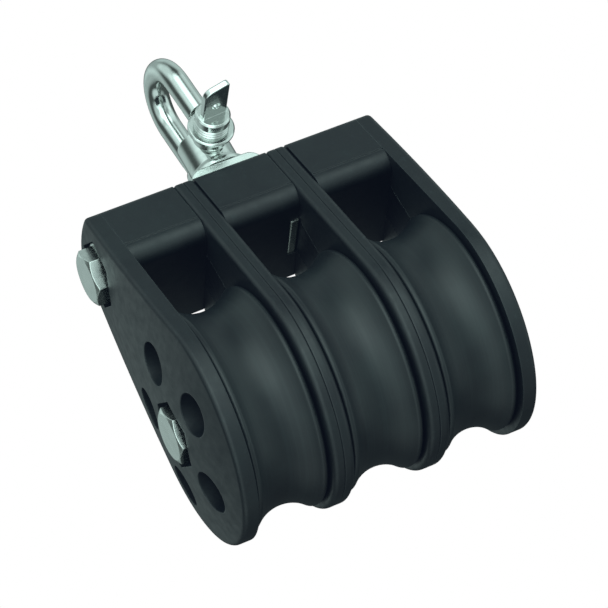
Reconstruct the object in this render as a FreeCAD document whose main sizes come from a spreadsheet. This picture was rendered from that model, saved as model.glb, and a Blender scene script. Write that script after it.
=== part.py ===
"""Triple sheave block with a swivelling D-shackle.

Frame: origin on the axle's centre line at the middle of the block, +X along the axle,
+Z up through the head to the shackle, -Y the front.  Millimetres.
"""
import FreeCAD
import Part
import math
import os

import Sketcher
from FreeCAD import Placement, Rotation, Vector

doc = FreeCAD.newDocument("TripleSheaveBlock")

# ---------------------------------------------------------------- driving sizes

DRIVING_SIZES = [
    ("sheave_radius", 36.0, "sheave over its flanges"),
    ("sheave_width", 24.0, "sheave"),
    ("groove_radius", 31.9, "axle centre to the groove's bottom"),
    ("lip_width", 1.7, "flat of each flange beside the groove"),
    ("side_gap", 0.6, "between sheave and wall"),
    ("plate", 3.7, "one inner cheek plate"),
    ("cheek_radius", 38.3, "round end of a cheek"),
    ("taper", 20.5, "cheek side against +Z, degrees"),
    ("head_height", 77.2, "axle centre to the top of the head"),
    ("arch_radius", 60.0, "top of the head"),
    ("corner_radius", 3.0, "corners of the head"),
    ("spacer_floor", 49.9, "axle centre to the middle of the spacers' underside"),
    ("spacer_fall", 1.8, "fall of that underside from the middle to one cheek radius behind it"),
    ("spacer_round", 5.0, "front lower edge of the spacers"),
    ("spacer_back_round", 1.0, "back lower edge of the spacers"),
    ("score_height", 57.4, "axle centre to the fine lines across the front and back of the head"),
    ("score_reach", 19.0, "middle of the head to the bottom of those lines"),
    ("score_width", 0.5, "one of those lines"),
    ("crown_thickness", 10.2, "outer cheek at the axle"),
    ("crown_radius", 140.0, "domed outer face"),
    ("crown_lean", 3.4, "dome thins towards the head, degrees"),
    ("port_radius", 7.0, "lightening hole"),
    ("port_circle", 22.6, "axle centre to the lightening holes"),
    ("bolt_radius", 5.0, "axle bolt and head bolt"),
    ("bolt_fit", 0.05, "radial clearance on a bolt"),
    ("head_bolt_height", 62.0, "axle centre to head bolt"),
    ("hex_flats", 16.0, "bolt heads and nuts across flats"),
    ("hex_height", 5.6, "bolt head"),
    ("nut_height", 4.0, "hexagonal part of a nut"),
    ("collar_height", 1.6, "locking collar of a nut"),
    ("collar_radius", 7.2, "locking collar of a nut"),
    ("bolt_tail", 0.8, "bolt end beyond its nut"),
    ("washer_radius", 10.0, "washer"),
    ("washer_thickness", 1.6, "washer"),
    ("recess_flats", 20.8, "hexagonal recess across flats"),
    ("axle_seat", 4.5, "inner face of an outer cheek to the axle washer's seat"),
    ("head_seat", 3.4, "inner face of an outer cheek to the head washer's seat"),
    ("strap_radius", 8.0, "round end of a load strap"),
    ("strap_thickness", 1.5, "load strap"),
    ("strap_gap", 0.1, "load strap in its pocket"),
    ("sleeve_radius", 7.0, "axle sleeve"),
    ("bush_radius", 9.5, "sheave bush"),
    ("running_gap", 0.05, "radial clearance of a running fit"),
    ("bush_proud", 0.3, "bush beyond the sheave's face"),
    ("web_depth", 2.0, "recess in the sheave's side"),
    ("saddle_length", 24.8, "head strap along the axle"),
    ("saddle_width", 18.0, "head strap front to back"),
    ("saddle_thickness", 3.0, "head strap"),
    ("saddle_seat", 0.8, "seat of the head strap under the top of the head"),
    ("saddle_lift", 0.6, "head strap over its seat"),
    ("saddle_bend", 4.5, "outer bend of the head strap"),
    ("head_sleeve_radius", 6.0, "sleeve on the head bolt"),
    ("shank_radius", 4.5, "swivel eye's shank"),
    ("flange_radius", 10.0, "swivel eye's flange"),
    ("flange_height", 1.8, "swivel eye's flange"),
    ("flare_height", 1.6, "cone between the flange and the block"),
    ("block_radius", 8.3, "swivel eye's round block"),
    ("block_top", 95.5, "axle centre to the top of that block"),
    ("pin_height", 90.0, "axle centre to shackle pin"),
    ("pin_radius", 3.0, "shackle pin"),
    ("shackle_inside", 17.0, "between the shackle's ears"),
    ("wire_radius", 4.0, "shackle bow"),
    ("ear_radius", 5.6, "shackle ear"),
    ("ear_thickness", 4.8, "shackle ear"),
    ("ear_relief", 2.6, "spot face round an ear, beyond the ear's radius"),
    ("leg_length", 21.4, "shackle pin to the centre of the bow"),
    ("pin_flange_radius", 7.6, "flange of the pin, against the ear"),
    ("pin_flange", 1.6, "thickness of that flange"),
    ("pin_collar_radius", 5.7, "grooved collar of the pin"),
    ("pin_collar_end", 22.1, "middle of the pin to the face of its collar"),
    ("lug_reach", 26.8, "middle of the pin to the hole in its lug"),
    ("lug_width", 8.8, "lug"),
    ("lug_shoulder", 34.2, "middle of the pin to the lug's blunt corner"),
    ("lug_tip", 36.3, "middle of the pin to the lug's pointed corner"),
    ("lug_thickness", 2.3, "lug"),
    ("lug_hole", 1.4, "radius of the lug's hole"),
    ("lug_roll", -5.0, "lug turned about the pin, degrees"),
    ("swivel_rest", 2.0, "the swivel at rest, turned about +Z, degrees"),
    ("shackle_rest", 4.0, "the shackle at rest, leaning to -X, degrees"),
]

sheet = doc.addObject("Spreadsheet::Sheet", "Sizes")
for row, (alias, number, note) in enumerate(DRIVING_SIZES, start=1):
    sheet.set("A%d" % row, note)
    sheet.set("B%d" % row, str(number))
    sheet.setAlias("B%d" % row, alias)
doc.recompute()


def size(alias):
    """The number that the sheet holds under this alias."""
    return float(sheet.get(alias))


def sized(formula):
    """A formula of aliases, written with the sheet's name in front of each."""
    words = formula.replace("(", " ( ").replace(")", " ) ").split()
    return " ".join("Sizes." + word if word[0].isalpha() else word for word in words)


def value(formula):
    """The number that a formula of aliases gives."""
    return float(sheet.evalExpression(sized(formula)))


def bind(target, path, formula):
    """Tie one property of an object to a formula of the sheet's aliases."""
    target.setExpression(path, sized(formula))


BAY = "( sheave_width + 2 * side_gap )"
PITCH = "( sheave_width + 2 * side_gap + 2 * plate )"
OUTER_FACE = "( 1.5 * sheave_width + 3 * side_gap + 2 * plate )"
BAYS = {"left": -1, "middle": 0, "right": 1}
BOLT_BORE = "bolt_radius + bolt_fit"
LONG_CUT = 200.0
SADDLE_UNDERSIDE = "( head_height - saddle_seat + saddle_lift )"
SADDLE_TOP = "( head_height - saddle_seat + saddle_lift + saddle_thickness )"
# A hexagon's size over its corners against its size over its flats.
OVER_CORNERS = "%.6f" % (2 / math.sqrt(3))

# ---------------------------------------------------------------- sketch helpers


def new_body(label):
    body = doc.addObject("PartDesign::Body", label)
    body.Label = label
    return body


def new_sketch(body, name, role, offset=None):
    """A sketch on one of the body's origin planes, moved along the plane's normal."""
    planes = [item for item in body.Origin.OriginFeatures if item.Role == role]
    sketch = body.newObject("Sketcher::SketchObject", name)
    sketch.AttachmentSupport = [(planes[0], "")]
    sketch.MapMode = "FlatFace"
    if offset:
        bind(sketch, ".AttachmentOffset.Base.z", offset)
    return sketch


def constrain(sketch, kind, *references, formula=None):
    """Add a constraint; with a formula, its value follows the sheet."""
    if formula is None:
        sketch.addConstraint(Sketcher.Constraint(kind, *references))
        return
    index = sketch.addConstraint(Sketcher.Constraint(kind, *references, value(formula)))
    bind(sketch, "Constraints[%d]" % index, formula)


def sketch_circle(sketch, radius, height=None):
    """A circle on the sketch's vertical axis, at the origin unless a height is given."""
    centre_height = value(height) if height else 0.0
    circle = Part.Circle(Vector(0, centre_height, 0), Vector(0, 0, 1), value(radius))
    index = sketch.addGeometry(circle, False)
    constrain(sketch, "Radius", index, formula=radius)
    if height:
        constrain(sketch, "PointOnObject", index, 3, -2)
        constrain(sketch, "DistanceY", -1, 1, index, 3, formula=height)
    else:
        constrain(sketch, "Coincident", index, 3, -1, 1)


def sketch_polygon(sketch, points):
    """A closed outline of straight lines through (horizontal, vertical) formula pairs.

    Every corner is held by its own distances from the origin.
    """
    corners = [Vector(value(across), value(up), 0) for across, up in points]
    count = len(corners)
    for index in range(count):
        line = Part.LineSegment(corners[index], corners[(index + 1) % count])
        sketch.addGeometry(line, False)
    for index in range(count):
        constrain(sketch, "Coincident", index, 2, (index + 1) % count, 1)
    for index, (across, up) in enumerate(points):
        if abs(corners[index].x) < 1e-9:
            constrain(sketch, "PointOnObject", index, 1, -2)
        else:
            constrain(sketch, "DistanceX", -1, 1, index, 1, formula=across)
        if abs(corners[index].y) < 1e-9:
            constrain(sketch, "PointOnObject", index, 1, -1)
        else:
            constrain(sketch, "DistanceY", -1, 1, index, 1, formula=up)


def sketch_slot(sketch, radius, length):
    """A round-ended slot from the origin up the vertical axis."""
    end = value(length)
    reach = value(radius)
    normal = Vector(0, 0, 1)
    lower = Part.Circle(Vector(0, 0, 0), normal, reach)
    upper = Part.Circle(Vector(0, end, 0), normal, reach)
    sketch.addGeometry(Part.ArcOfCircle(lower, math.pi, 2 * math.pi), False)
    sketch.addGeometry(Part.LineSegment(Vector(reach, 0, 0), Vector(reach, end, 0)), False)
    sketch.addGeometry(Part.ArcOfCircle(upper, 0, math.pi), False)
    sketch.addGeometry(Part.LineSegment(Vector(-reach, end, 0), Vector(-reach, 0, 0)), False)
    for first, second in ((0, 1), (1, 2), (2, 3), (3, 0)):
        constrain(sketch, "Tangent", first, 2, second, 1)
    constrain(sketch, "Coincident", 0, 3, -1, 1)
    constrain(sketch, "PointOnObject", 2, 3, -2)
    constrain(sketch, "Radius", 0, formula=radius)
    constrain(sketch, "DistanceY", 0, 3, 2, 3, formula=length)


def sketch_cheek_outline(sketch):
    """Round lower end, straight tapering sides, gently arched top with rounded corners."""
    lean = math.radians(size("taper"))
    radius = size("cheek_radius")
    corner = size("corner_radius")
    arch = size("arch_radius")
    arch_centre = size("head_height") - arch
    outward = Vector(math.cos(lean), math.sin(lean), 0)
    along = Vector(-math.sin(lean), math.cos(lean), 0)
    # The corner's centre lies on a line inside the side, at arch - corner from the arch's centre.
    start = outward * (radius - corner)
    offset = start - Vector(0, arch_centre, 0)
    middle = offset.dot(along)
    run = -middle + math.sqrt(middle ** 2 - offset.dot(offset) + (arch - corner) ** 2)
    corner_centre = start + along * run
    turn = math.atan2(corner_centre.y - arch_centre, corner_centre.x)
    tangent = outward * radius
    shoulder = corner_centre + outward * corner
    normal = Vector(0, 0, 1)

    def mirrored(point):
        return Vector(-point.x, point.y, 0)

    round_end = Part.Circle(Vector(0, 0, 0), normal, radius)
    right_corner = Part.Circle(corner_centre, normal, corner)
    top = Part.Circle(Vector(0, arch_centre, 0), normal, arch)
    left_corner = Part.Circle(mirrored(corner_centre), normal, corner)
    outline = [
        Part.ArcOfCircle(round_end, math.pi - lean, 2 * math.pi + lean),
        Part.LineSegment(tangent, shoulder),
        Part.ArcOfCircle(right_corner, lean, turn),
        Part.ArcOfCircle(top, turn, math.pi - turn),
        Part.ArcOfCircle(left_corner, math.pi - turn, math.pi - lean),
        Part.LineSegment(mirrored(shoulder), mirrored(tangent)),
    ]
    for piece in outline:
        sketch.addGeometry(piece, False)
    for first in range(len(outline)):
        constrain(sketch, "Tangent", first, 2, (first + 1) % len(outline), 1)
    constrain(sketch, "Coincident", 0, 3, -1, 1)
    constrain(sketch, "Radius", 0, formula="cheek_radius")
    constrain(sketch, "Radius", 2, formula="corner_radius")
    constrain(sketch, "Equal", 2, 4)
    constrain(sketch, "PointOnObject", 3, 3, -2)
    constrain(sketch, "Radius", 3, formula="arch_radius")
    constrain(sketch, "DistanceY", -1, 1, 3, 3, formula="head_height - arch_radius")
    index = sketch.addConstraint(Sketcher.Constraint("Angle", 1, math.pi / 2 + lean))
    sketch.setExpression("Constraints[%d]" % index, "(90 + Sizes.taper) * 1 deg")


# ---------------------------------------------------------------- feature helpers


def pad(body, sketch, length, midplane=False):
    feature = body.newObject("PartDesign::Pad", "Pad")
    feature.Profile = sketch
    bind(feature, "Length", length)
    feature.Midplane = midplane
    return feature


def pocket(body, sketch, depth=None, reverse=False, midplane=False):
    """Cut a sketch out of the body; without a depth the cut runs right through."""
    volume = body.Shape.Volume
    feature = body.newObject("PartDesign::Pocket", "Pocket")
    feature.Profile = sketch
    if depth:
        bind(feature, "Length", depth)
    else:
        feature.Length = LONG_CUT
    feature.Midplane = midplane
    feature.Reversed = reverse
    doc.recompute()
    if body.Shape.Volume > volume - 1e-3:
        raise RuntimeError("a pocket of %s cuts nothing" % body.Label)
    return feature


def round_edges(body, radius, wanted):
    """Fillet those edges of the body's tip for which wanted(edge) is true."""
    doc.recompute()
    base = body.Tip
    names = ["Edge%d" % (i + 1) for i, edge in enumerate(body.Shape.Edges) if wanted(edge)]
    if not names:
        raise RuntimeError("no edge to round on %s" % body.Label)
    feature = body.newObject("PartDesign::Fillet", "Fillet")
    feature.Base = (base, names)
    feature.Radius = radius
    doc.recompute()
    body.Tip = feature


def round_solid(label, base, radius, wanted):
    """The same for a solid made of primitives."""
    doc.recompute()
    edges = [(i + 1, radius, radius) for i, edge in enumerate(base.Shape.Edges) if wanted(edge)]
    feature = doc.addObject("Part::Fillet", label)
    feature.Label = label
    feature.Base = base
    feature.Edges = edges
    return feature


def cylinder(radius, length, axis, start=("0", "0", "0")):
    """A cylinder along +X, +Y or +Z from its start point."""
    turns = {
        "X": Rotation(Vector(0, 1, 0), 90),
        "Y": Rotation(Vector(1, 0, 0), -90),
        "Z": Rotation(),
    }
    feature = doc.addObject("Part::Cylinder", "Cylinder")
    bind(feature, "Radius", radius)
    bind(feature, "Height", length)
    feature.Placement = Placement(Vector(0, 0, 0), turns[axis])
    for letter, formula in zip("xyz", start):
        bind(feature, ".Placement.Base." + letter, formula)
    return feature


def cut(label, base, tool):
    feature = doc.addObject("Part::Cut", label)
    feature.Label = label
    feature.Base = base
    feature.Tool = tool
    return feature


def fuse(label, *shapes):
    feature = doc.addObject("Part::MultiFuse", label)
    feature.Label = label
    feature.Shapes = list(shapes)
    return feature


def common(label, *shapes):
    feature = doc.addObject("Part::MultiCommon", label)
    feature.Label = label
    feature.Shapes = list(shapes)
    return feature


def group(label, *shapes):
    """Separate identical solids kept together as one node."""
    feature = doc.addObject("Part::Compound", label)
    feature.Label = label
    feature.Links = list(shapes)
    return feature


def tube(label, outer, inner, length, axis, start=("0", "0", "0")):
    return cut(label, cylinder(outer, length, axis, start), cylinder(inner, length, axis, start))


def place_along_axle(feature, formula, turned=False):
    """Set a part's place along the axle; a turned part faces the other way."""
    half_turn = 180 if turned else 0
    feature.Placement = Placement(Vector(0, 0, 0), Rotation(Vector(0, 0, 1), half_turn))
    bind(feature, ".Placement.Base.x", formula)
    return feature


def is_round_bore(edge):
    """True for a full circle, such as the rim of a bolt hole."""
    return len(edge.Vertexes) == 1


def lies_at_x(edge, position):
    box = edge.BoundBox
    return abs(box.XMin - position) < 1e-4 and abs(box.XMax - position) < 1e-4


# ---------------------------------------------------------------- cheeks and straps


def bolt_holes(body):
    for name, height in (("AxleHole", None), ("HeadHole", "head_bolt_height")):
        sketch = new_sketch(body, name, "YZ_Plane")
        sketch_circle(sketch, BOLT_BORE, height)
        pocket(body, sketch, midplane=True)


def strap_pocket(body):
    """The shallow seat of a load strap in the face at x = 0."""
    sketch = new_sketch(body, "StrapSeat", "YZ_Plane")
    sketch_slot(sketch, "strap_radius + strap_gap", "head_bolt_height")
    pocket(body, sketch, "strap_thickness", reverse=True)


def inner_cheek(label, position, turned):
    """One of the two plates of an inner wall: its rim is rounded on the sheave's side."""
    body = new_body(label)
    outline = new_sketch(body, "Outline", "YZ_Plane")
    sketch_cheek_outline(outline)
    pad(body, outline, "plate")
    rim_round = 1.8
    seam_round = 0.4
    round_edges(body, rim_round, lambda edge: lies_at_x(edge, 0.0))
    round_edges(body, seam_round, lambda edge: lies_at_x(edge, size("plate")))
    strap_pocket(body)
    bolt_holes(body)
    place_along_axle(body, position, turned)


def hex_recess(body, name, seat, height):
    """A hexagonal recess, corners up and down, from its seat outwards."""
    corner = "recess_flats / 2 * " + OVER_CORNERS
    sketch = new_sketch(body, name, "YZ_Plane", offset=seat)
    low = height + " - " if height != "0" else "0 - "
    high = height + " + " if height != "0" else "0 + "
    sketch_polygon(sketch, [
        ("0", high + corner),
        ("0 - recess_flats / 2", high + corner + " / 2"),
        ("0 - recess_flats / 2", low + corner + " / 2"),
        ("0", low + corner),
        ("recess_flats / 2", low + corner + " / 2"),
        ("recess_flats / 2", high + corner + " / 2"),
    ])
    pocket(body, sketch, reverse=True)


def crown(label):
    """The solid under the domed face: a ball round the axle that runs on as a leaning barrel."""
    ball = doc.addObject("Part::Sphere", label + "Ball")
    bind(ball, "Radius", "crown_radius")
    barrel = doc.addObject("Part::Cylinder", label + "Barrel")
    bind(barrel, "Radius", "crown_radius")
    bind(barrel, "Height", "2 * head_height")
    barrel.Placement = Placement(Vector(0, 0, 0), Rotation(Vector(0, 1, 0), -size("crown_lean")))
    for piece in (ball, barrel):
        bind(piece, ".Placement.Base.x", "crown_thickness - crown_radius")
    return fuse(label, ball, barrel)


def outer_cheek(label, position, turned):
    """Domed side plate: inner face at x = 0 of its own frame, dome towards +X."""
    body = new_body(label + "_blank")
    outline = new_sketch(body, "Outline", "YZ_Plane")
    sketch_cheek_outline(outline)
    pad(body, outline, "crown_thickness")
    doc.recompute()
    domed = common(label + "_domed", body, crown(label + "_crown"))
    doc.recompute()

    def on_rim(edge):
        box = edge.BoundBox
        middle = edge.valueAt((edge.FirstParameter + edge.LastParameter) / 2)
        lean = math.radians(size("taper"))
        side_distance = abs(middle.y) * math.cos(lean) + middle.z * math.sin(lean)
        along_side = -abs(middle.y) * math.sin(lean) + middle.z * math.cos(lean)
        at_round = along_side <= 0 and abs(math.hypot(middle.y, middle.z) - size("cheek_radius")) < 0.1
        at_side = along_side > 0 and abs(side_distance - size("cheek_radius")) < 0.1
        at_top = middle.z > size("head_bolt_height") + size("recess_flats") / 2
        crosswise = box.XLength > 3.0 and box.YLength < 1.5 and box.ZLength < 1.5
        return middle.x > 2.0 and (at_round or at_side or at_top) and not crosswise

    rim_round = 1.6
    rounded = round_solid(label + "_rounded", domed, rim_round, on_rim)
    doc.recompute()

    holes = new_body(label + "_holes")
    base = holes.newObject("PartDesign::FeatureBase", "Blank")
    base.BaseFeature = rounded
    holes.Tip = base
    doc.recompute()
    strap_pocket(holes)
    bolt_holes(holes)
    hex_recess(holes, "AxleRecess", "axle_seat", "0")
    hex_recess(holes, "HeadRecess", "head_seat", "head_bolt_height")
    port = new_sketch(holes, "Port", "YZ_Plane")
    circle = Part.Circle(Vector(0, -size("port_circle"), 0), Vector(0, 0, 1), size("port_radius"))
    port.addGeometry(circle, False)
    constrain(port, "Radius", 0, formula="port_radius")
    constrain(port, "PointOnObject", 0, 3, -2)
    constrain(port, "DistanceY", 0, 3, -1, 1, formula="port_circle")
    first_port = pocket(holes, port, midplane=True)
    ports = holes.newObject("PartDesign::PolarPattern", "Ports")
    ports.Originals = [first_port]
    ports.Axis = (port, ["N_Axis"])
    ports.Angle = 360.0
    ports.Occurrences = 5
    holes.Tip = ports
    doc.recompute()
    holes.Label = label
    place_along_axle(holes, position, turned)


def load_strap(label, position, turned):
    """Flat steel strip with round ends, from the axle to the head bolt."""
    body = new_body(label)
    outline = new_sketch(body, "Outline", "YZ_Plane")
    sketch_slot(outline, "strap_radius", "head_bolt_height")
    pad(body, outline, "strap_thickness")
    doc.recompute()
    bolt_holes(body)
    place_along_axle(body, position, turned)


def build_walls():
    outer_cheek("outer_cheek_right", OUTER_FACE, False)
    outer_cheek("outer_cheek_left", "0 - " + OUTER_FACE, True)
    for number, sign in ((1, "0 - "), (2, "")):
        near = sign + PITCH + " / 2 - plate"
        far = sign + PITCH + " / 2 + plate"
        inner_cheek("inner_cheek_%d_left" % number, near, False)
        inner_cheek("inner_cheek_%d_right" % number, far, True)
    number = 1
    for offset in BAYS.values():
        for side in (-1, 1):
            place = "%d * %s + %d * %s / 2" % (offset, PITCH, side, BAY)
            load_strap("load_strap_%d" % number, place, side < 0)
            number += 1


# ---------------------------------------------------------------- head


def head_spacer(name, offset):
    """The block that fills the head of one bay, flush with the cheeks; its underside falls to the back."""
    body = new_body("head_spacer_" + name)
    outline = new_sketch(body, "Outline", "YZ_Plane")
    sketch_cheek_outline(outline)
    pad(body, outline, BAY, midplane=True)
    doc.recompute()
    below = new_sketch(body, "Below", "YZ_Plane")
    sketch_polygon(below, [
        ("0 - 2 * cheek_radius", "0 - 2 * cheek_radius"),
        ("2 * cheek_radius", "0 - 2 * cheek_radius"),
        ("2 * cheek_radius", "spacer_floor - 2 * spacer_fall"),
        ("0 - 2 * cheek_radius", "spacer_floor + 2 * spacer_fall"),
    ])
    pocket(body, below, midplane=True)

    def runs_along_the_bottom(edge):
        box = edge.BoundBox
        low = box.ZMax < size("spacer_floor") + size("spacer_fall")
        return low and box.YLength < 1e-4 and box.ZLength < 1e-4

    def is_front_bottom(edge):
        return runs_along_the_bottom(edge) and edge.BoundBox.YMin < 0

    def is_back_bottom(edge):
        return runs_along_the_bottom(edge) and edge.BoundBox.YMin > 0

    round_edges(body, size("spacer_round"), is_front_bottom)
    round_edges(body, size("spacer_back_round"), is_back_bottom)
    for side in ("Front", "Back"):
        score_line(body, side)
    if name == "middle":
        cut_strap_seats(body)
    else:
        bore = new_sketch(body, "HeadHole", "YZ_Plane")
        sketch_circle(bore, BOLT_BORE, "head_bolt_height")
        pocket(body, bore, midplane=True)
    place_along_axle(body, "%d * %s" % (offset, PITCH))


def score_line(body, side):
    """A fine line across the front or back of the head, above its rounded lower edge."""
    sign = "0 - " if side == "Front" else ""
    near = sign + "score_reach"
    far = sign + "2 * score_reach"
    line = new_sketch(body, side + "Line", "YZ_Plane")
    sketch_polygon(line, [
        (near, "score_height"),
        (far, "score_height"),
        (far, "score_height + score_width"),
        (near, "score_height + score_width"),
    ])
    pocket(body, line, midplane=True)


def cut_strap_seats(body):
    """Side notches for the strap's legs, a bore for the sleeve and a well for the swivel nut."""
    leg_gap = "saddle_length / 2 - saddle_thickness - strap_gap"
    half_depth = "saddle_width / 2 + strap_gap"
    well_wall = "0.6"
    for name, sign in (("LeftNotch", "0 - "), ("RightNotch", "")):
        notch = new_sketch(body, name, "XY_Plane", offset="head_height / 2")
        near = sign + "( " + leg_gap + " )"
        far = sign + BAY
        sketch_polygon(notch, [
            (near, "0 - ( " + half_depth + " )"),
            (far, "0 - ( " + half_depth + " )"),
            (far, half_depth),
            (near, half_depth),
        ])
        pocket(body, notch, reverse=True)
    seat_height = "head_height - saddle_seat"
    seat = new_sketch(body, "SaddleSeat", "XZ_Plane")
    sketch_polygon(seat, [
        ("0 - " + BAY, seat_height),
        (BAY, seat_height),
        (BAY, "2 * head_height"),
        ("0 - " + BAY, "2 * head_height"),
    ])
    pocket(body, seat, midplane=True)

    def meets_the_inner_bend(edge):
        box = edge.BoundBox
        over_notch = abs(abs(box.XMin) - value(leg_gap)) < 1e-3 and box.XLength < 1e-4
        return over_notch and box.ZLength < 1e-4 and abs(box.ZMax - value(seat_height)) < 1e-3

    round_edges(body, size("saddle_bend") - size("saddle_thickness"), meets_the_inner_bend)
    bore = new_sketch(body, "SleeveBore", "YZ_Plane")
    sketch_circle(bore, "head_sleeve_radius + bolt_fit", "head_bolt_height")
    pocket(body, bore, midplane=True)
    well_floor = "head_bolt_height + head_sleeve_radius + " + well_wall
    well = new_sketch(body, "SwivelWell", "XY_Plane", offset=well_floor)
    sketch_circle(well, "block_radius + strap_gap")
    pocket(body, well, reverse=True)


def head_strap():
    """Inverted U of flat steel: its top carries the swivel, its legs hang on the head bolt."""
    body = new_body("head_strap")
    profile = new_sketch(body, "Profile", "XZ_Plane")
    outer = "saddle_length / 2"
    inner = "( saddle_length / 2 - saddle_thickness )"
    sketch_polygon(profile, [
        ("0 - " + outer, "spacer_floor"),
        ("0 - " + inner, "spacer_floor"),
        ("0 - " + inner, SADDLE_UNDERSIDE),
        (inner, SADDLE_UNDERSIDE),
        (inner, "spacer_floor"),
        (outer, "spacer_floor"),
        (outer, SADDLE_TOP),
        ("0 - " + outer, SADDLE_TOP),
    ])
    pad(body, profile, "saddle_width", midplane=True)

    def runs_front_to_back(edge):
        box = edge.BoundBox
        return box.XLength < 1e-4 and box.ZLength < 1e-4

    def is_outer_bend(edge):
        return runs_front_to_back(edge) and abs(edge.BoundBox.ZMax - value(SADDLE_TOP)) < 1e-4

    def is_inner_bend(edge):
        return runs_front_to_back(edge) and abs(edge.BoundBox.ZMax - value(SADDLE_UNDERSIDE)) < 1e-4

    def is_leg_end(edge):
        return runs_front_to_back(edge) and edge.BoundBox.ZMax < size("spacer_floor") + 1e-4

    round_edges(body, size("saddle_bend"), is_outer_bend)
    round_edges(body, size("saddle_bend") - size("saddle_thickness"), is_inner_bend)
    round_edges(body, 0.5, is_leg_end)
    cross_bore = new_sketch(body, "HeadHole", "YZ_Plane")
    sketch_circle(cross_bore, BOLT_BORE, "head_bolt_height")
    pocket(body, cross_bore, midplane=True)
    swivel_bore = new_sketch(body, "SwivelHole", "XY_Plane", offset="head_bolt_height")
    sketch_circle(swivel_bore, "shank_radius + running_gap")
    pocket(body, swivel_bore, reverse=True)


def build_head():
    for name, offset in BAYS.items():
        head_spacer(name, offset)
    head_strap()
    clear_length = "( saddle_length - 2 * saddle_thickness )"
    tube(
        "head_sleeve",
        "head_sleeve_radius",
        BOLT_BORE,
        clear_length,
        "X",
        ("0 - " + clear_length + " / 2", "0", "head_bolt_height"),
    )


# ---------------------------------------------------------------- sheaves


def sheave(name, offset):
    """Rope wheel: one turned profile with a round groove and shallow side recesses."""
    label = "sheave_" + name
    body = new_body(label)
    half_width = size("sheave_width") / 2
    groove_half = half_width - size("lip_width")
    depth = size("sheave_radius") - size("groove_radius")
    arc_radius = (groove_half ** 2 + depth ** 2) / (2 * depth)
    blank = new_sketch(body, "Blank", "YZ_Plane")
    sketch_circle(blank, "sheave_radius")
    sketch_circle(blank, "bush_radius")
    pad(body, blank, "sheave_width", midplane=True)
    doc.recompute()
    groove = new_sketch(body, "Groove", "XZ_Plane")
    centre = Vector(0, size("groove_radius") + arc_radius, 0)
    circle = groove.addGeometry(Part.Circle(centre, Vector(0, 0, 1), arc_radius), False)
    constrain(groove, "PointOnObject", circle, 3, -2)
    groove_formula = (
        "( ( sheave_width / 2 - lip_width ) ^ 2 + ( sheave_radius - groove_radius ) ^ 2 )"
        " / ( 2 * ( sheave_radius - groove_radius ) )"
    )
    constrain(groove, "Radius", circle, formula=groove_formula)
    constrain(groove, "DistanceY", -1, 1, circle, 3, formula="groove_radius + " + groove_formula)
    turned = body.newObject("PartDesign::Groove", "RopeGroove")
    turned.Profile = groove
    turned.ReferenceAxis = (groove, ["H_Axis"])
    turned.Angle = 360.0
    doc.recompute()
    lip_round = 0.8
    corner_round = 1.1

    def is_groove_edge(edge):
        box = edge.BoundBox
        at_edge = abs(abs(box.XMin) - groove_half) < 1e-3 and box.XLength < 1e-4
        return at_edge and abs(box.ZMax - size("sheave_radius")) < 1e-3

    def is_outer_corner(edge):
        box = edge.BoundBox
        at_face = abs(abs(box.XMin) - half_width) < 1e-3 and box.XLength < 1e-4
        return at_face and abs(box.ZMax - size("sheave_radius")) < 1e-3

    round_edges(body, lip_round, is_groove_edge)
    round_edges(body, corner_round, is_outer_corner)
    hub_radius = "bush_radius + 3"
    rim_radius = "sheave_radius - 7"
    for side, turn in (("Right", True), ("Left", False)):
        sign = "" if turn else "0 - "
        web = new_sketch(body, side + "Web", "YZ_Plane", offset=sign + "( sheave_width / 2 - web_depth )")
        sketch_circle(web, hub_radius)
        sketch_circle(web, rim_radius)
        pocket(body, web, "web_depth + 1", reverse=turn)
    place_along_axle(body, "%d * %s" % (offset, PITCH))


def bearing(name, offset):
    """The bush pressed into a sheave and the steel sleeve that it runs on."""
    centre = "%d * %s" % (offset, PITCH)
    bush_length = "( sheave_width + 2 * bush_proud )"
    tube(
        "sheave_bush_" + name,
        "bush_radius",
        "sleeve_radius + running_gap",
        bush_length,
        "X",
        (centre + " - " + bush_length + " / 2", "0", "0"),
    )
    tube(
        "axle_sleeve_" + name,
        "sleeve_radius",
        BOLT_BORE,
        BAY,
        "X",
        (centre + " - " + BAY + " / 2", "0", "0"),
    )


def build_sheaves():
    for name, offset in BAYS.items():
        sheave(name, offset)
        bearing(name, offset)


# ---------------------------------------------------------------- bolts, nuts and washers


def hexagon(height_along, start, elevation):
    """A hexagon along +X with corners front and back, chamfered at its -X end."""
    flat_radius = "hex_flats / 2 * 0.95"
    chamfer_slope = "%.6f" % math.sqrt(3)
    prism = doc.addObject("Part::Prism", "Hexagon")
    prism.Polygon = 6
    bind(prism, "Circumradius", "hex_flats / 2 * " + OVER_CORNERS)
    bind(prism, "Height", height_along)
    cone = doc.addObject("Part::Cone", "HexChamfer")
    bind(cone, "Radius1", flat_radius)
    bind(cone, "Radius2", flat_radius + " + " + chamfer_slope + " * " + height_along)
    bind(cone, "Height", height_along)
    along_axle = Rotation(Vector(0, 1, 0), 90)
    corners_to_front = Rotation(Vector(0, 0, 1), 90)
    prism.Placement = Placement(Vector(0, 0, 0), along_axle * corners_to_front)
    cone.Placement = Placement(Vector(0, 0, 0), along_axle)
    for piece in (prism, cone):
        bind(piece, ".Placement.Base.x", start)
        bind(piece, ".Placement.Base.z", elevation)
    return common("Hex", prism, cone)


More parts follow.
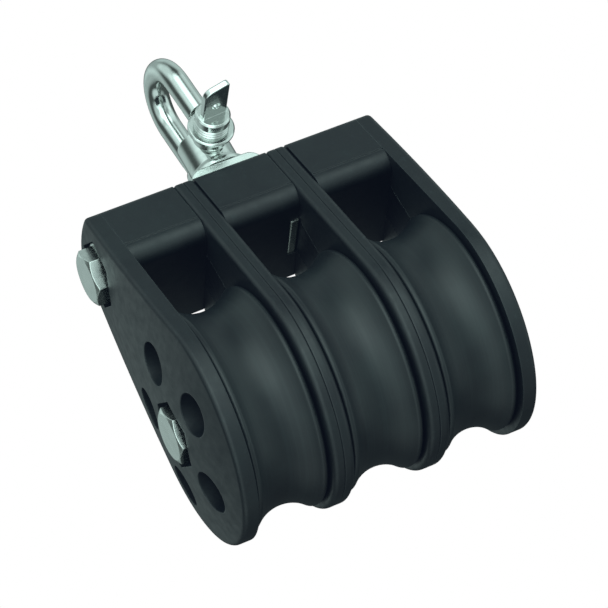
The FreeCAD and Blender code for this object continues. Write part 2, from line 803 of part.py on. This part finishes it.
def bolt_set(name, seat, elevation):
    """Bolt, washers and lock nut through the whole block at one height; returns the nut's locking ring."""
    seat_x = "( " + OUTER_FACE + " + " + seat + " )"
    washer_x = "( " + OUTER_FACE + " + " + seat + " + washer_thickness )"
    bolt_end = washer_x + " + nut_height + collar_height + bolt_tail"
    head = hexagon("hex_height", "0 - " + washer_x + " - hex_height", elevation)
    shank_start = ("0 - " + washer_x, "0", elevation)
    shank = cylinder("bolt_radius", washer_x + " + " + bolt_end, "X", shank_start)
    tip_chamfer = 0.6
    tip_x = value(bolt_end)
    plain = fuse(name + "_bolt_plain", head, shank)

    def is_bolt_tip(edge):
        return lies_at_x(edge, tip_x) and is_round_bore(edge)

    round_solid(name + "_bolt", plain, tip_chamfer, is_bolt_tip)
    washers = []
    for place in ("0 - " + washer_x, seat_x):
        start = (place, "0", elevation)
        washers.append(tube(name + "_washer", "washer_radius", BOLT_BORE, "washer_thickness", "X", start))
    group(name + "_washers", *washers)
    ring_radius = "collar_radius - 0.8"
    ring_inset = "0.5"
    hex_part = hexagon("nut_height", washer_x, elevation)
    collar_x = washer_x + " + nut_height"
    collar = cylinder("collar_radius", "collar_height", "X", (collar_x, "0", elevation))
    blank = fuse(name + "_nut_blank", hex_part, collar)
    bore = cylinder(BOLT_BORE, "nut_height + collar_height", "X", (washer_x, "0", elevation))
    ring_start = (collar_x + " - " + ring_inset, "0", elevation)
    ring_seat = cylinder(ring_radius, "collar_height", "X", ring_start)
    bored = cut(name + "_nut_bored", blank, bore)
    cut(name + "_nut", bored, ring_seat)
    return tube(name + "_ring", ring_radius, BOLT_BORE, "collar_height", "X", ring_start)


def build_fasteners():
    axle_ring = bolt_set("axle", "axle_seat", "0")
    head_ring = bolt_set("head", "head_seat", "head_bolt_height")
    group("lock_rings", axle_ring, head_ring)


# ---------------------------------------------------------------- swivel and shackle


def rest_on_swivel(feature, about_pin=None):
    """Turn a part with the swivel; one on the pin is also turned about it and lifted to it."""
    swivel_turn = Rotation(Vector(0, 0, 1), size("swivel_rest"))
    if about_pin is None:
        feature.Placement = Placement(Vector(0, 0, 0), swivel_turn)
        return
    pin_turn = Rotation(Vector(0, 1, 0), about_pin)
    feature.Placement = Placement(Vector(0, 0, 0), swivel_turn * pin_turn)
    bind(feature, ".Placement.Base.z", "pin_height")


def swivel():
    """Cross-bored block with flange and shank, and the washer and nut that hold it under the head strap."""
    play = "0.15"
    washer_height = "1.4"
    nut_height = "4.6"
    thread_tail = "1.5"
    block_floor = SADDLE_TOP + " + " + play
    flare_start = block_floor + " + flange_height"
    flange = cylinder("flange_radius", "flange_height", "Z", ("0", "0", block_floor))
    flare = doc.addObject("Part::Cone", "Flare")
    bind(flare, "Radius1", "flange_radius - flare_height / 2")
    bind(flare, "Radius2", "block_radius")
    bind(flare, "Height", "flare_height")
    bind(flare, ".Placement.Base.z", flare_start)
    block_height = "block_top - " + SADDLE_TOP + " - " + play
    block = cylinder("block_radius", block_height, "Z", ("0", "0", block_floor))
    shank_parts = ("saddle_thickness", "2 * " + play, washer_height, nut_height, thread_tail)
    shank_length = "( " + " + ".join(shank_parts) + " )"
    shank = cylinder("shank_radius", shank_length, "Z", ("0", "0", block_floor + " - " + shank_length))
    solid = fuse("swivel_eye_solid", flange, flare, block, shank)
    bore_start = ("0", "0 - flange_radius", "pin_height")
    bore = cylinder("pin_radius + running_gap", "2 * flange_radius", "Y", bore_start)
    bored = cut("swivel_eye_bored", solid, bore)

    def is_soft_edge(edge):
        box = edge.BoundBox
        level = box.ZLength < 1e-4
        block_rim = level and abs(box.ZMin - size("block_top")) < 1e-3
        flange_rim = level and box.XLength > 2 * size("flange_radius") - 0.1
        return block_rim or flange_rim and box.ZMin > value(block_floor) + 1e-3

    edge_round = 0.7
    rest_on_swivel(round_solid("swivel_eye", bored, edge_round, is_soft_edge))
    washer_z = SADDLE_UNDERSIDE + " - " + play + " - " + washer_height
    washer_radius = "block_radius - 1.1"
    nut_z = washer_z + " - " + nut_height
    thread_bore = "shank_radius + bolt_fit"
    washer_start = ("0", "0", washer_z)
    rest_on_swivel(tube("swivel_washer", washer_radius, thread_bore, washer_height, "Z", washer_start))
    prism = doc.addObject("Part::Prism", "SwivelHexagon")
    prism.Polygon = 6
    bind(prism, "Circumradius", washer_radius)
    bind(prism, "Height", nut_height)
    bind(prism, ".Placement.Base.z", nut_z)
    thread = cylinder(thread_bore, nut_height, "Z", ("0", "0", nut_z))
    rest_on_swivel(cut("swivel_nut", prism, thread))


def shackle_body():
    """D-shackle: round wire bent to a bow, with a bored ear on each end, built round its pin."""
    body = new_body("shackle_wire")
    middle = "( shackle_inside / 2 + wire_radius )"
    reach = value(middle)
    rise = size("leg_length")
    spine = new_sketch(body, "Spine", "YZ_Plane")
    bend = Part.Circle(Vector(0, rise, 0), Vector(0, 0, 1), reach)
    spine.addGeometry(Part.LineSegment(Vector(reach, 0, 0), Vector(reach, rise, 0)), False)
    spine.addGeometry(Part.ArcOfCircle(bend, 0, math.pi), False)
    spine.addGeometry(Part.LineSegment(Vector(-reach, rise, 0), Vector(-reach, 0, 0)), False)
    constrain(spine, "Tangent", 0, 2, 1, 1)
    constrain(spine, "Tangent", 1, 2, 2, 1)
    constrain(spine, "PointOnObject", 0, 1, -1)
    constrain(spine, "PointOnObject", 2, 2, -1)
    constrain(spine, "PointOnObject", 1, 3, -2)
    constrain(spine, "Radius", 1, formula=middle)
    constrain(spine, "DistanceY", -1, 1, 1, 3, formula="leg_length")
    section = new_sketch(body, "Section", "XY_Plane")
    wire = Part.Circle(Vector(0, reach, 0), Vector(0, 0, 1), size("wire_radius"))
    section.addGeometry(wire, False)
    constrain(section, "Radius", 0, formula="wire_radius")
    constrain(section, "PointOnObject", 0, 3, -2)
    constrain(section, "DistanceY", -1, 1, 0, 3, formula=middle)
    sweep = body.newObject("PartDesign::AdditivePipe", "Bow")
    sweep.Profile = section
    sweep.Spine = (spine, ["Edge1", "Edge2", "Edge3"])
    doc.recompute()
    ear_face = "( shackle_inside / 2 + ear_thickness )"
    ears = []
    spot_faces = []
    for sign, far_end in (("", "0"), ("0 - ", "ear_thickness")):
        ear_start = sign + "shackle_inside / 2 - " + far_end
        ears.append(cylinder("ear_radius", "ear_thickness", "Y", ("0", ear_start, "0")))
        face_start = ear_face if sign == "" else "0 - " + ear_face + " - 2 * wire_radius"
        spot_start = ("0", face_start, "0")
        spot_faces.append(cylinder("ear_radius + ear_relief", "2 * wire_radius", "Y", spot_start))
    ear_round = 0.8
    soft_ears = [round_solid("SoftEar", ear, ear_round, is_round_bore) for ear in ears]
    relieved = cut("shackle_relieved", body, fuse("SpotFaces", *spot_faces))
    solid = fuse("shackle_solid", relieved, *soft_ears)
    bore_start = ("0", "0 - " + ear_face + " - wire_radius", "0")
    bore = cylinder("pin_radius + running_gap", "2 * " + ear_face + " + 2 * wire_radius", "Y", bore_start)
    rest_on_swivel(cut("shackle_body", solid, bore), -size("shackle_rest"))


def shackle_pin():
    """Screw pin built along Y: shank, flange against the ear, grooved collar and a flat drilled lug."""
    body = new_body("shackle_pin")
    seat_gap = " - 0.15"
    shank_end = "shackle_inside / 2 + ear_thickness + 1"
    tip = "0.6"
    rim = "0.5"
    ridge_height = "0.6"
    ridge_pitch = "1.1"
    seat = "0 - shackle_inside / 2 - ear_thickness" + seat_gap
    flange_end = seat + " - pin_flange"
    face = "0 - pin_collar_end"
    root = "pin_collar_radius - " + ridge_height
    profile = [
        ("0", shank_end),
        ("pin_radius - " + tip, shank_end),
        ("pin_radius", shank_end + " - " + tip),
        ("pin_radius", seat),
        ("pin_flange_radius - " + rim, seat),
        ("pin_flange_radius", seat + " - " + rim),
        ("pin_flange_radius", flange_end + " + " + rim),
        ("pin_flange_radius - " + rim, flange_end),
        (root, flange_end),
    ]
    for ridge in range(3):
        start = flange_end + " - %d * %s" % (ridge, ridge_pitch)
        profile.append(("pin_collar_radius", start + " - " + ridge_pitch + " / 2"))
        profile.append((root, start + " - " + ridge_pitch))
    profile += [
        ("pin_collar_radius", flange_end + " - 3.5 * " + ridge_pitch),
        ("pin_collar_radius", face + " + " + tip),
        ("pin_collar_radius - " + tip, face),
        ("0", face),
    ]
    turned = new_sketch(body, "Turned", "XY_Plane")
    sketch_polygon(turned, profile)
    revolve = body.newObject("PartDesign::Revolution", "Shank")
    revolve.Profile = turned
    revolve.ReferenceAxis = (turned, ["V_Axis"])
    revolve.Angle = 360.0
    doc.recompute()
    lug = new_sketch(body, "Lug", "XY_Plane")
    foot = face + " + " + rim
    sketch_polygon(lug, [
        ("0 - lug_width / 2", foot),
        ("lug_width / 2", foot),
        ("lug_width / 2", "0 - lug_tip"),
        ("0 - lug_width / 2", "0 - lug_shoulder"),
    ])
    pad(body, lug, "lug_thickness", midplane=True)
    doc.recompute()

    def is_far_corner(edge):
        box = edge.BoundBox
        upright = box.XLength < 1e-4 and box.YLength < 1e-4
        return upright and box.YMax < value(face) - 1.0

    def is_lug_edge(edge):
        box = edge.BoundBox
        at_face = abs(abs(box.ZMin) - size("lug_thickness") / 2) < 1e-4 and box.ZLength < 1e-4
        return at_face and box.YMin < value(face) - 1.0

    blunt_round = 3.4
    point_round = 0.9
    soft_round = 0.5
    round_edges(body, blunt_round, lambda edge: is_far_corner(edge) and edge.BoundBox.XMin < 0)
    round_edges(body, point_round, lambda edge: is_far_corner(edge) and edge.BoundBox.XMin > 0)
    round_edges(body, soft_round, is_lug_edge)
    hole = new_sketch(body, "LugHole", "XY_Plane")
    hole_circle = Part.Circle(Vector(0, -size("lug_reach"), 0), Vector(0, 0, 1), size("lug_hole"))
    hole.addGeometry(hole_circle, False)
    constrain(hole, "Radius", 0, formula="lug_hole")
    constrain(hole, "PointOnObject", 0, 3, -2)
    constrain(hole, "DistanceY", 0, 3, -1, 1, formula="lug_reach")
    pocket(body, hole, midplane=True)
    rest_on_swivel(body, size("lug_roll"))


# ---------------------------------------------------------------- build, check and write

NODES = (
    ["outer_cheek_left", "outer_cheek_right"]
    + ["inner_cheek_%d_%s" % (number, side) for number in (1, 2) for side in ("left", "right")]
    + ["load_strap_%d" % number for number in range(1, 7)]
    + ["head_spacer_" + name for name in BAYS]
    + ["head_strap", "head_sleeve"]
    + ["sheave_" + name for name in BAYS]
    + ["sheave_bush_" + name for name in BAYS]
    + ["axle_sleeve_" + name for name in BAYS]
    + ["axle_bolt", "axle_washers", "axle_nut", "head_bolt", "head_washers", "head_nut", "lock_rings"]
    + ["swivel_eye", "swivel_washer", "swivel_nut", "shackle_body", "shackle_pin"]
)

build_walls()
build_head()
build_sheaves()
build_fasteners()
swivel()
shackle_body()
shackle_pin()
doc.recompute()

for item in doc.Objects:
    bad = [state for state in item.State if state in ("Invalid", "Error")]
    if bad:
        raise RuntimeError("%s (%s) is %s" % (item.Label, item.Name, bad))

os.makedirs("parts", exist_ok=True)
for node in NODES:
    found = doc.getObjectsByLabel(node)
    if len(found) != 1:
        raise RuntimeError("%d objects are labelled %s" % (len(found), node))
    shape = found[0].Shape
    if shape.isNull() or not shape.isValid():
        raise RuntimeError("%s has no valid shape" % node)
    shape.exportStep("parts/%s.step" % node)
    print("%-22s %d solid(s) %10.1f mm3" % (node, len(shape.Solids), shape.Volume))
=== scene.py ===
"""Looks, light and camera for the triple sheave block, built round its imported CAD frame. Metres."""

import math

import bmesh
import bpy
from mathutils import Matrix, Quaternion, Vector


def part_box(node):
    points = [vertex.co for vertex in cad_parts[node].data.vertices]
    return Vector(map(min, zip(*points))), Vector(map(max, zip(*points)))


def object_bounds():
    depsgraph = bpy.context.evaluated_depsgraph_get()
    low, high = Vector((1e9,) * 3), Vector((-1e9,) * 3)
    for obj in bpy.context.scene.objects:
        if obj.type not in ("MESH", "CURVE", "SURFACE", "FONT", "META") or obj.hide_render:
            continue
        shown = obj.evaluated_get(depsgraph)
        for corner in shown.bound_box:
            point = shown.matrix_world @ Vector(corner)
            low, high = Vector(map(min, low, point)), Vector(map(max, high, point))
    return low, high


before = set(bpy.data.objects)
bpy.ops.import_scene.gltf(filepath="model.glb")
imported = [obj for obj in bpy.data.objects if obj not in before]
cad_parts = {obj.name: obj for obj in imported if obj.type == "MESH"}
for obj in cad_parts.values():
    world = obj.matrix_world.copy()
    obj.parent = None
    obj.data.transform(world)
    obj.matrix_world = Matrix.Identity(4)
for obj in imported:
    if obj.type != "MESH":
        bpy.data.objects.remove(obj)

cad_low, cad_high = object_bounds()
CENTRE = (cad_low + cad_high) / 2
sheave_low, sheave_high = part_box("sheave_middle")
AXLE = (sheave_low + sheave_high) / 2

# The camera looks up at the block from below its front left corner, and is rolled about its own axis.
CAMERA_AZIMUTH = -19.8
CAMERA_ELEVATION = -26.84
CAMERA_ROLL = -30.4
CAMERA_DISTANCE = 0.9246
CAMERA_LENS = 176.97
CAMERA_AIM = AXLE + Vector((-0.0012, -0.0105, 0.0203))

FLOOR_DROP = 0.56
FLOOR_SIDE = 14.0

# A faint bluish glow painted onto black surfaces for the lens's haze, so that none of them goes fully
# black.
PAINTED_DARK_GLOW = (0.0022, 0.0033, 0.0066, 1.0)
NO_PAINTED_GLOW = (0.0, 0.0, 0.0, 1.0)
# No plastic is whiter than this, so tones lightened for painted glints and for edges painted lighter, as
# wear and as a painted highlight, stop here.
WHITEST = 0.85

# Soft lit panels of the room: name, direction in the camera's own axes (right, up, back towards the
# camera), half angle in degrees, brightness.
ROOM_TINT = (0.79, 1.0, 0.96)
ROOM_SHADE = 0.08
ROOM_PANELS = (
    ("Camera", (0.0, 0.05, 1.0), 36, 1.6),
    ("FrontUp", (0.0, 0.67, 0.74), 36, 2.3),
    ("FrontRight", (0.58, 0.33, 0.74), 38, 0.30),
    ("FrontLowRight", (0.58, -0.33, 0.74), 34, 0.35),
    ("FrontLow", (0.0, -0.67, 0.74), 30, 1.1),
    ("FrontLowLeft", (-0.58, -0.33, 0.74), 38, 0.55),
    ("FrontLeft", (-0.58, 0.33, 0.74), 38, 0.60),
    ("UpRight", (0.7, 0.7, 0.1), 38, 0.85),
    ("Right", (0.99, 0.0, 0.1), 32, 0.8),
    ("LowRight", (0.7, -0.7, 0.1), 32, 0.3),
    ("Low", (0.0, -0.99, 0.1), 32, 0.7),
    ("UpLeft", (-0.7, 0.7, 0.1), 38, 0.70),
    ("BackUp", (0.13, 0.75, -0.64), 38, 0.52),
    ("BackLeft", (-0.72, -0.26, -0.64), 38, 0.40),
    ("BackUpLeft", (-0.66, 0.38, -0.64), 38, 0.34),
)


# ---------------------------------------------------------------- materials

class Look:
    """A node-based material under construction. Pattern sizes are given in metres."""

    def __init__(self, name):
        self.material = bpy.data.materials.new(name)
        self.material.use_nodes = True
        self.tree = self.material.node_tree
        self.surface = self.tree.nodes["Principled BSDF"]
        self.place = self.node("ShaderNodeTexCoord").outputs["Object"]

    def node(self, kind, **settings):
        made = self.tree.nodes.new(kind)
        for name, value in settings.items():
            setattr(made, name, value)
        return made

    def feed(self, target, value):
        """Joins a socket to a target, or sets the target to a plain value."""
        if isinstance(value, bpy.types.NodeSocket):
            self.tree.links.new(value, target)
        else:
            target.default_value = value

    def stretched(self, factors):
        mapping = self.node("ShaderNodeMapping")
        self.feed(mapping.inputs["Vector"], self.place)
        mapping.inputs["Scale"].default_value = factors
        return mapping.outputs["Vector"]

    def noise(self, size, detail=3.0, roughness=0.55, distortion=0.0, where=None):
        made = self.node("ShaderNodeTexNoise")
        self.feed(made.inputs["Vector"], where or self.place)
        made.inputs["Scale"].default_value = 1.0 / size
        made.inputs["Detail"].default_value = detail
        made.inputs["Roughness"].default_value = roughness
        made.inputs["Distortion"].default_value = distortion
        return made.outputs["Fac"]

    def remap(self, value, low, high, new_low=0.0, new_high=1.0, smooth=False):
        made = self.node("ShaderNodeMapRange")
        made.interpolation_type = "SMOOTHSTEP" if smooth else "LINEAR"
        self.feed(made.inputs["Value"], value)
        limits = (("From Min", low), ("From Max", high), ("To Min", new_low), ("To Max", new_high))
        for name, number in limits:
            self.feed(made.inputs[name], number)
        return made.outputs["Result"]

    def math(self, operation, first, second=0.0):
        made = self.node("ShaderNodeMath", operation=operation)
        self.feed(made.inputs[0], first)
        self.feed(made.inputs[1], second)
        return made.outputs["Value"]

    def mix(self, share, first, second):
        made = self.node("ShaderNodeMix", data_type="RGBA")
        self.feed(made.inputs["Factor"], share)
        self.feed(made.inputs["A"], first)
        self.feed(made.inputs["B"], second)
        return made.outputs["Result"]

    def soft_edges(self, radius):
        """The surface's direction with its edges rounded over by radius."""
        made = self.node("ShaderNodeBevel", samples=6)
        made.inputs["Radius"].default_value = radius
        return made.outputs["Normal"]

    def edge_mask(self, radius, sharpness):
        """1 on an edge, 0 on a flat or gently curved face."""
        dot = self.node("ShaderNodeVectorMath", operation="DOT_PRODUCT")
        self.feed(dot.inputs[0], self.soft_edges(radius))
        self.feed(dot.inputs[1], self.node("ShaderNodeNewGeometry").outputs["Normal"])
        return self.remap(dot.outputs["Value"], 1.0, 1.0 - sharpness, smooth=True)

    def bump(self, height, depth, strength=1.0, under=None):
        made = self.node("ShaderNodeBump")
        made.inputs["Strength"].default_value = strength
        made.inputs["Distance"].default_value = depth
        self.feed(made.inputs["Height"], height)
        if under is not None:
            self.feed(made.inputs["Normal"], under)
        return made.outputs["Normal"]

    def around_x(self):
        """Coordinates (distance from the X axis, place along it): patterns in them run round the axle."""
        split = self.node("ShaderNodeSeparateXYZ")
        self.feed(split.inputs[0], self.place)
        square_y = self.math("MULTIPLY", split.outputs["Y"], split.outputs["Y"])
        square_z = self.math("MULTIPLY", split.outputs["Z"], split.outputs["Z"])
        radius = self.math("SQRT", self.math("ADD", square_y, square_z))
        joined = self.node("ShaderNodeCombineXYZ")
        self.feed(joined.inputs["X"], radius)
        self.feed(joined.inputs["Y"], split.outputs["X"])
        return joined.outputs["Vector"]

    def finish(self, **sockets):
        for name, value in sockets.items():
            self.feed(self.surface.inputs[name.replace("_", " ")], value)
        return self.material


def colour(red, green, blue):
    return (red, green, blue, 1.0)


def scaled(tone, factor):
    """A tone made lighter or darker, but no lighter than WHITEST."""
    return colour(*(min(factor * part, WHITEST) for part in tone[:3]))


def moulded_nylon(name, dark, light, base_roughness):
    """Glass-filled nylon: spark-textured, cloudy where the melt flowed, polished along its edges, which are
    painted lighter as wear and as a painted highlight.
    """
    look = Look(name)
    cloud = look.remap(look.noise(0.022, detail=4.0, distortion=0.6), 0.35, 0.68)
    fibres = look.noise(0.0011, detail=2.0, where=look.stretched((1.0, 1.0, 0.22)))
    fibre_glint = look.remap(fibres, 0.62, 0.74, 0.0, 0.35)
    edge = look.edge_mask(0.0007, 0.35)
    scuffs = look.noise(0.0045, detail=5.0, roughness=0.7, where=look.stretched((1.0, 0.3, 1.6)))
    scuffs = look.remap(scuffs, 0.60, 0.72)
    # Scuffs are wear; the lightened edges are partly wear and partly a painted highlight.
    wear_and_highlight = look.math("MAXIMUM", look.math("MULTIPLY", edge, 0.55), look.math("MULTIPLY", scuffs, 0.22))

    tone = look.mix(cloud, dark, light)
    tone = look.mix(fibre_glint, tone, scaled(light, 2.2))
    tone = look.mix(wear_and_highlight, tone, scaled(light, 3.0))
    grain = look.noise(0.00034, detail=2.0)
    patches = look.noise(0.0035, detail=4.0)
    rough = look.remap(patches, 0.3, 0.7, base_roughness - 0.05, base_roughness + 0.07)
    rough = look.math("SUBTRACT", rough, look.math("MULTIPLY", wear_and_highlight, 0.12))
    surface = look.bump(grain, 0.00003, 0.5, under=look.soft_edges(0.0005))
    surface = look.bump(look.noise(0.009, detail=2.0), 0.00012, 0.35, under=surface)
    # The emission is a faint painted glow that lifts the nylon's darks.
    return look.finish(Base_Color=tone, Roughness=rough, Normal=surface, IOR=1.53,
                       Emission_Color=PAINTED_DARK_GLOW, Emission_Strength=1.0)


def turned_plastic(name, dark, light, base_roughness):
    """Satin sheave plastic with fine marks round the axle, painted lighter in part as a painted sheen, and
    edges painted lighter as a painted highlight.
    """
    look = Look(name)
    around = look.around_x()
    marks = look.noise(0.0009, detail=3.0, roughness=0.7, where=around)
    bands = look.noise(0.0055, detail=2.0, where=around)
    cloud = look.remap(look.noise(0.016, detail=3.0), 0.35, 0.65)
    edge = look.edge_mask(0.0006, 0.4)

    tone = look.mix(look.math("MULTIPLY", cloud, 0.8), dark, light)
    # The marks are real; painting them lighter adds a painted sheen along them.
    tone = look.mix(look.remap(marks, 0.45, 0.75, 0.0, 0.35), tone, scaled(light, 1.8))
    # Edges painted lighter: a painted highlight.
    tone = look.mix(look.math("MULTIPLY", edge, 0.5), tone, scaled(light, 2.6))
    rough = look.remap(bands, 0.3, 0.7, base_roughness - 0.04, base_roughness + 0.06)
    surface = look.bump(marks, 0.00002, 0.55, under=look.soft_edges(0.0004))
    surface = look.bump(look.noise(0.0004, detail=2.0), 0.000012, 0.5, under=surface)
    # The emission is a faint painted glow that lifts the sheave plastic's darks.
    return look.finish(Base_Color=tone, Roughness=rough, Normal=surface, IOR=1.5,
                       Emission_Color=PAINTED_DARK_GLOW, Emission_Strength=1.0)


def steel(name, base, base_roughness, scratch_depth, edge_radius, wear_and_highlight=None, painted_glow=NO_PAINTED_GLOW):
    """Stainless steel: hairline scratches, smudges that dull the polish, edges painted brighter as wear and
    as a painted highlight.
    """
    wear_and_highlight = wear_and_highlight or colour(*(min(1.0, 1.3 * part) for part in base[:3]))
    look = Look(name)
    smudge = look.remap(look.noise(0.006, detail=5.0, roughness=0.65, distortion=0.8), 0.4, 0.7)
    hairs = look.noise(0.0006, detail=3.0, roughness=0.7, where=look.stretched((0.18, 1.0, 1.0)))
    crossed = look.noise(0.0008, detail=3.0, roughness=0.7, where=look.stretched((1.0, 1.0, 0.15)))
    edge = look.edge_mask(edge_radius, 0.4)

    tone = look.mix(look.math("MULTIPLY", smudge, 0.5), base, scaled(base, 0.78))
    # Edges painted brighter: partly wear, partly a painted highlight.
    tone = look.mix(look.math("MULTIPLY", edge, 0.6), tone, wear_and_highlight)
    rough = look.math("ADD", look.remap(smudge, 0.0, 1.0, 0.0, 0.10), base_roughness)
    rough = look.math("ADD", rough, look.remap(hairs, 0.5, 0.8, 0.0, 0.10))
    surface = look.bump(hairs, scratch_depth, 0.3, under=look.soft_edges(edge_radius))
    surface = look.bump(crossed, scratch_depth, 0.2, under=surface)
    # The emission is a faint painted glow, where one is given.
    return look.finish(Base_Color=tone, Roughness=rough, Normal=surface, Metallic=1.0,
                       Emission_Color=painted_glow, Emission_Strength=1.0)


LOOKS = {
    "nylon": moulded_nylon("Nylon", colour(0.0042, 0.0070, 0.0100), colour(0.0085, 0.0140, 0.0160), 0.46),
    "sheave_plastic": turned_plastic(
        "SheavePlastic", colour(0.0055, 0.0085, 0.0110), colour(0.0120, 0.0185, 0.0195), 0.44),
    "bush_plastic": turned_plastic("BushPlastic", colour(0.30, 0.29, 0.25), colour(0.42, 0.41, 0.36), 0.45),
    "lock_ring_nylon": moulded_nylon("LockRing", colour(0.60, 0.60, 0.56), colour(0.74, 0.74, 0.70), 0.40),
    "stainless": steel("Stainless", colour(0.78, 0.82, 0.80), 0.20, 0.000002, 0.0004),
    # Load straps: near-black base is painted shade of the head's hollows, bright edges a painted highlight.
    "load_strap": steel(
        "LoadStrapPaintedShade", colour(0.030, 0.038, 0.048), 0.5, 0.000004, 0.0003,
        wear_and_highlight=colour(0.42, 0.47, 0.46), painted_glow=PAINTED_DARK_GLOW),
    "polished_stainless": steel("PolishedStainless", colour(0.78, 0.82, 0.80), 0.10, 0.000006, 0.0003),
}


def dress_cad_nodes():
    for name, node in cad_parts.items():
        for slot in node.material_slots:
            # Load straps take the darkened steel, whose dark base is painted shade.
            own = "load_strap" if name.startswith("load_strap") else slot.material.name
            slot.material = LOOKS[own]


# ---------------------------------------------------------------- studio

def camera_axes():
    """The camera's turn, and its right, up and back directions."""
    azimuth = math.radians(CAMERA_AZIMUTH)
    elevation = math.radians(CAMERA_ELEVATION)
    back = Vector((math.sin(azimuth) * math.cos(elevation),
                   -math.cos(azimuth) * math.cos(elevation),
                   math.sin(elevation)))
    turn = (-back).to_track_quat("-Z", "Y") @ Quaternion((0.0, 0.0, 1.0), math.radians(CAMERA_ROLL))
    return turn, turn @ Vector((1.0, 0.0, 0.0)), turn @ Vector((0.0, 1.0, 0.0)), back


def add_camera(turn, back):
    data = bpy.data.cameras.new("Camera")
    data.lens = CAMERA_LENS
    data.clip_start = 0.05
    data.clip_end = 50.0
    camera = bpy.data.objects.new("Camera", data)
    camera.rotation_mode = "QUATERNION"
    camera.rotation_quaternion = turn
    camera.location = CAMERA_AIM + back * CAMERA_DISTANCE
    bpy.context.scene.collection.objects.link(camera)
    bpy.context.scene.camera = camera


def add_room(right, up, back):
    """The camera sees plain white; everything else sees a dim room with soft lit panels round the block."""
    world = bpy.data.worlds.new("Room")
    world.use_nodes = True
    bpy.context.scene.world = world
    tree = world.node_tree
    tree.nodes.clear()
    sight = tree.nodes.new("ShaderNodeTexCoord").outputs["Generated"]
    total = None
    for name, (to_right, to_up, to_back), spread, brightness in ROOM_PANELS:
        towards = (to_right * right + to_up * up + to_back * back).normalized()
        dot = tree.nodes.new("ShaderNodeVectorMath")
        dot.operation = "DOT_PRODUCT"
        tree.links.new(sight, dot.inputs[0])
        dot.inputs[1].default_value = towards
        glow = tree.nodes.new("ShaderNodeMapRange")
        glow.interpolation_type = "SMOOTHSTEP"
        tree.links.new(dot.outputs["Value"], glow.inputs["Value"])
        glow.inputs["From Min"].default_value = math.cos(math.radians(spread))
        glow.inputs["From Max"].default_value = math.cos(math.radians(spread * 0.25))
        add = tree.nodes.new("ShaderNodeVectorMath")
        add.operation = "MULTIPLY_ADD"
        add.name = name
        tree.links.new(glow.outputs["Result"], add.inputs[0])
        add.inputs[1].default_value = brightness * Vector(ROOM_TINT)
        if total is None:
            add.inputs[2].default_value = ROOM_SHADE * Vector(ROOM_TINT)
        else:
            tree.links.new(total, add.inputs[2])
        total = add.outputs["Vector"]

    room = tree.nodes.new("ShaderNodeBackground")
    tree.links.new(total, room.inputs["Color"])
    white = tree.nodes.new("ShaderNodeBackground")
    white.inputs["Color"].default_value = colour(1.0, 1.0, 1.0)
    seen = tree.nodes.new("ShaderNodeLightPath").outputs["Is Camera Ray"]
    choose = tree.nodes.new("ShaderNodeMixShader")
    tree.links.new(seen, choose.inputs["Fac"])
    tree.links.new(room.outputs[0], choose.inputs[1])
    tree.links.new(white.outputs[0], choose.inputs[2])
    output = tree.nodes.new("ShaderNodeOutputWorld")
    tree.links.new(choose.outputs[0], output.inputs["Surface"])


def add_floor():
    """A wide pale floor well below the hanging block; its tone makes up for the room's tint."""
    look = Look("PaleFloor")
    cloud = look.noise(0.6, detail=3.0)
    tone = look.mix(cloud, colour(0.93, 0.74, 0.77), colour(0.99, 0.79, 0.82))
    surface = look.bump(look.noise(0.004, detail=2.0), 0.0002, 0.3)
    look.finish(Base_Color=tone, Roughness=0.8, Normal=surface,
                Emission_Color=colour(1.0, 1.0, 1.0), Emission_Strength=0.32)

    shape = bmesh.new()
    bmesh.ops.create_grid(shape, x_segments=4, y_segments=4, size=FLOOR_SIDE / 2)
    mesh = bpy.data.meshes.new("floor")
    shape.to_mesh(mesh)
    shape.free()
    mesh.materials.append(look.material)
    floor = bpy.data.objects.new("floor", mesh)
    floor.location = (CENTRE.x, CENTRE.y, cad_low.z - FLOOR_DROP)
    floor.visible_diffuse = False
    floor.visible_glossy = False
    bpy.context.scene.collection.objects.link(floor)


def build_studio():
    turn, right, up, back = camera_axes()
    add_camera(turn, back)
    add_room(right, up, back)
    add_floor()
    bpy.context.scene.view_settings.view_transform = "Standard"


dress_cad_nodes()
build_studio()
